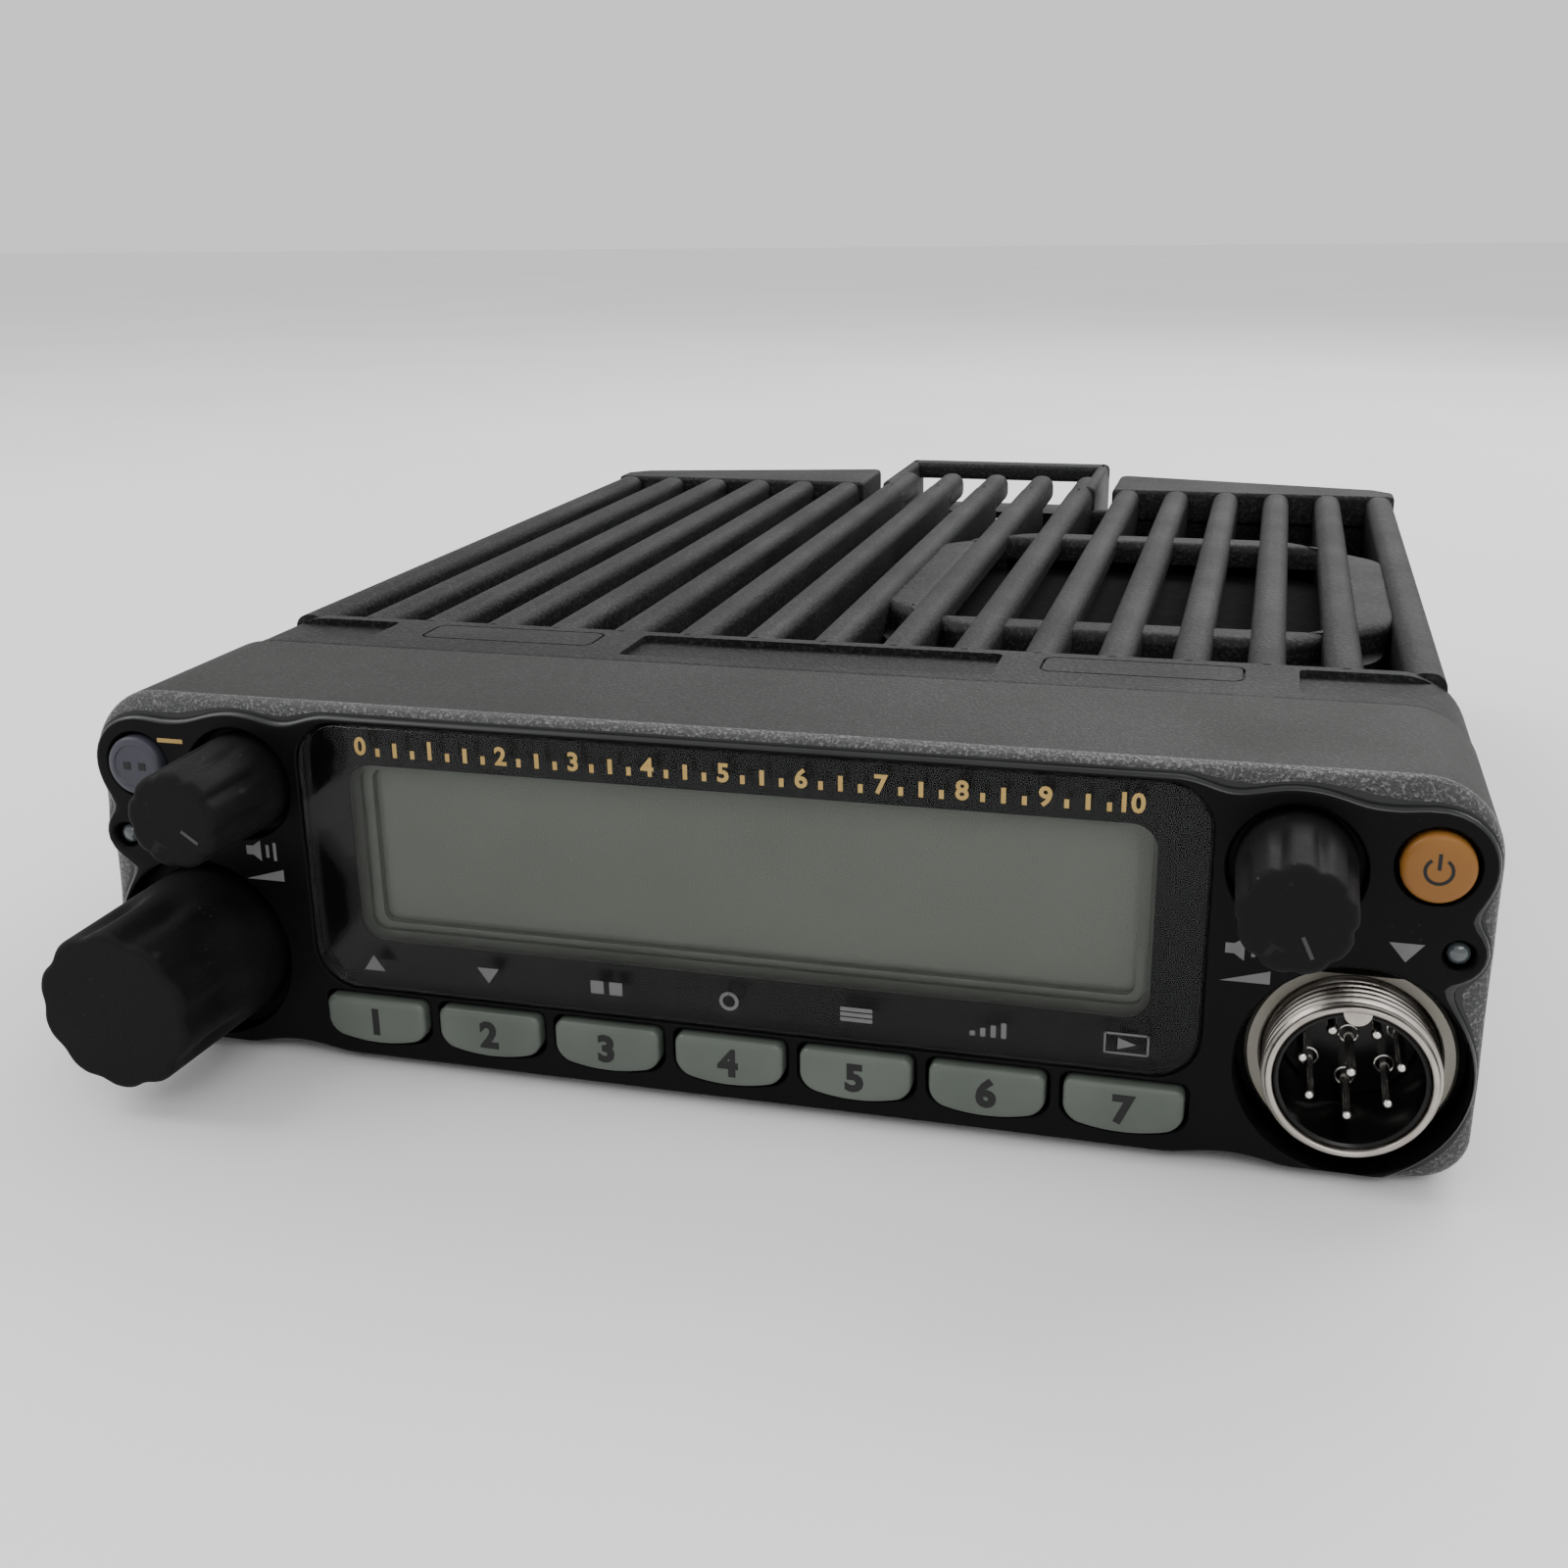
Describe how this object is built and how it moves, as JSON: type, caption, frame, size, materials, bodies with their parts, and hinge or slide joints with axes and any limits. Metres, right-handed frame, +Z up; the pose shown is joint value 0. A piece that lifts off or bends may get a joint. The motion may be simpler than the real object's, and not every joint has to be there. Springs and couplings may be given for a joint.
{
  "type": "mobile transceiver",
  "caption": "Low wide vehicle radio: control head with display, keys, two volume knobs, tuning dial and round microphone socket, on a ribbed die-cast chassis with loudspeaker and rear fan.",
  "frame": {"origin": "middle of the footprint, on the surface that the bottom cover rests on", "axes": "+X to the right as seen by the user, +Y from the front panel towards the rear, +Z up"},
  "size_m": [0.14, 0.2012, 0.0398],
  "materials": {
    "shell_plastic": "fine-textured charcoal moulding",
    "painted_metal": "satin black paint on die-cast alloy",
    "dark_plastic": "plain black moulding",
    "knob_rubber": "matt rubbery coat",
    "key_plastic": "translucent grey-green, satin",
    "display_lens": "polished clear acrylic with a black printed border",
    "lcd_glass": "grey-green liquid-crystal glass",
    "orange_plastic": "translucent amber, satin",
    "grey_plastic": "translucent lavender grey, satin",
    "lamp_plastic": "smoky light pipe",
    "nickel": "dull nickel plate",
    "steel": "zinc-plated steel",
    "plate_metal": "bare sheet",
    "circuit_board": "solder-masked glass-epoxy",
    "silicone": "moulded silicone",
    "paper_cone": "treated paper cone in a black basket",
    "speaker_foam": "open-cell acoustic cloth"
  },
  "bodies": {
    "transceiver_body": {"display_lens": "display_lens", "head_shell": "shell_plastic", "lcd_panel": "lcd_glass", "lcd_holder": "dark_plastic", "key_mat": "silicone", "memory_switch": "dark_plastic", "power_switch": "dark_plastic", "main_receive_lamp": "lamp_plastic", "sub_receive_lamp": "lamp_plastic", "dial_encoder": "steel", "main_volume_control": "steel", "sub_volume_control": "steel", "mic_socket_shell": "nickel", "mic_socket_nut": "nickel", "mic_socket_insert": "dark_plastic", "head_board": "circuit_board", "head_back_plate": "plate_metal", "chassis": "painted_metal", "heat_sink": "painted_metal", "rear_frame": "painted_metal", "bottom_cover": "painted_metal", "cover_screw_1": "steel", "cover_screw_2": "steel", "cover_screw_3": "steel", "cover_screw_4": "steel", "cover_screw_5": "steel", "cover_screw_6": "steel", "main_board": "circuit_board", "board_screw_1": "steel", "board_screw_2": "steel", "board_screw_3": "steel", "board_screw_4": "steel", "power_module": "dark_plastic", "receiver_shield": "plate_metal", "supply_capacitor": "dark_plastic", "link_socket": "dark_plastic", "loudspeaker": "paper_cone", "speaker_cloth": "speaker_foam", "fan_frame": "dark_plastic", "antenna_socket": "nickel", "power_inlet": "dark_plastic", "speaker_jack_main": "nickel", "speaker_jack_sub": "nickel", "data_socket": "plate_metal"},
    "key_1": {"key_1": "key_plastic"},
    "key_2": {"key_2": "key_plastic"},
    "key_3": {"key_3": "key_plastic"},
    "key_4": {"key_4": "key_plastic"},
    "key_5": {"key_5": "key_plastic"},
    "key_6": {"key_6": "key_plastic"},
    "key_7": {"key_7": "key_plastic"},
    "memory_button": {"memory_button": "grey_plastic"},
    "power_button": {"power_button": "orange_plastic"},
    "main_dial": {"main_dial": "knob_rubber"},
    "main_volume_knob": {"main_volume_knob": "knob_rubber"},
    "sub_volume_knob": {"sub_volume_knob": "knob_rubber"},
    "fan_rotor": {"fan_rotor": "dark_plastic"}
  },
  "joints": [
    {"name": "key_1_press", "type": "slide", "parent": "transceiver_body", "child": "key_1", "axis": [0, 1, 0], "range_m": [0, 0.0005], "stiffness_N_per_m": 600, "springref_m": -0.0006},
    {"name": "key_2_press", "type": "slide", "parent": "transceiver_body", "child": "key_2", "axis": [0, 1, 0], "range_m": [0, 0.0005], "stiffness_N_per_m": 600, "springref_m": -0.0006},
    {"name": "key_3_press", "type": "slide", "parent": "transceiver_body", "child": "key_3", "axis": [0, 1, 0], "range_m": [0, 0.0005], "stiffness_N_per_m": 600, "springref_m": -0.0006},
    {"name": "key_4_press", "type": "slide", "parent": "transceiver_body", "child": "key_4", "axis": [0, 1, 0], "range_m": [0, 0.0005], "stiffness_N_per_m": 600, "springref_m": -0.0006},
    {"name": "key_5_press", "type": "slide", "parent": "transceiver_body", "child": "key_5", "axis": [0, 1, 0], "range_m": [0, 0.0005], "stiffness_N_per_m": 600, "springref_m": -0.0006},
    {"name": "key_6_press", "type": "slide", "parent": "transceiver_body", "child": "key_6", "axis": [0, 1, 0], "range_m": [0, 0.0005], "stiffness_N_per_m": 600, "springref_m": -0.0006},
    {"name": "key_7_press", "type": "slide", "parent": "transceiver_body", "child": "key_7", "axis": [0, 1, 0], "range_m": [0, 0.0005], "stiffness_N_per_m": 600, "springref_m": -0.0006},
    {"name": "memory_button_press", "type": "slide", "parent": "transceiver_body", "child": "memory_button", "axis": [0, 1, 0], "range_m": [0, 0.0005], "stiffness_N_per_m": 600, "springref_m": -0.0006},
    {"name": "power_button_press", "type": "slide", "parent": "transceiver_body", "child": "power_button", "axis": [0, 1, 0], "range_m": [0, 0.0005], "stiffness_N_per_m": 600, "springref_m": -0.0006},
    {"name": "main_dial_turn", "type": "hinge", "parent": "transceiver_body", "child": "main_dial", "pos_m": [-0.059, -0.08395, 0.0118], "axis": [0, 1, 0], "continuous": true},
    {"name": "main_volume_turn", "type": "hinge", "parent": "transceiver_body", "child": "main_volume_knob", "pos_m": [-0.0528, -0.08395, 0.0308], "axis": [0, 1, 0], "range_deg": [-275, 25]},
    {"name": "sub_volume_turn", "type": "hinge", "parent": "transceiver_body", "child": "sub_volume_knob", "pos_m": [0.0528, -0.08395, 0.0308], "axis": [0, 1, 0], "range_deg": [-300, 0]},
    {"name": "fan_spin", "type": "hinge", "parent": "transceiver_body", "child": "fan_rotor", "pos_m": [0, 0.08805, 0.0169], "axis": [0, 1, 0], "continuous": true}
  ]
}
